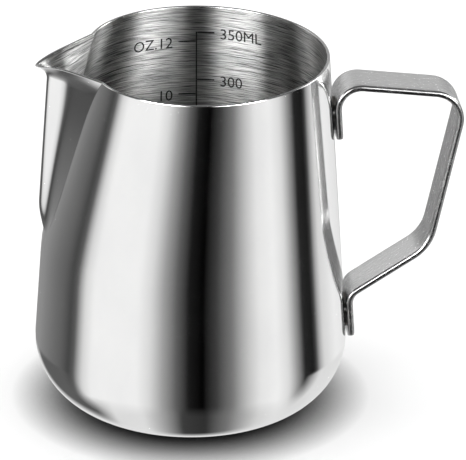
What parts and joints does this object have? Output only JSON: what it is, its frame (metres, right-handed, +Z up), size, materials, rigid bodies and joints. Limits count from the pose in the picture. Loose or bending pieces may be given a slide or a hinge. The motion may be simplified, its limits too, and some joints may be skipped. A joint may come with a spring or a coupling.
{
  "type": "milk frothing pitcher",
  "caption": "Polished steel milk pitcher with a pressed pouring spout, a bent strap handle welded at both ends, and a volume scale inside.",
  "frame": {"origin": "centre of the standing ring, on the table plane and on the cup's axis", "axes": "+Z up along the cup's axis, +X from the axis towards the handle, -X towards the spout, +Y completes the right-handed frame"},
  "size_m": [0.1076, 0.0788, 0.093],
  "materials": {
    "polished_steel": "polished",
    "satin_steel": "satin",
    "weld_steel": "matte",
    "etched_marks": "matte"
  },
  "bodies": {
    "root": {"body_shell": "polished_steel", "handle_strap": "satin_steel", "upper_weld_spots": "weld_steel", "lower_weld_spots": "weld_steel", "volume_scale": "etched_marks"}
  },
  "joints": []
}
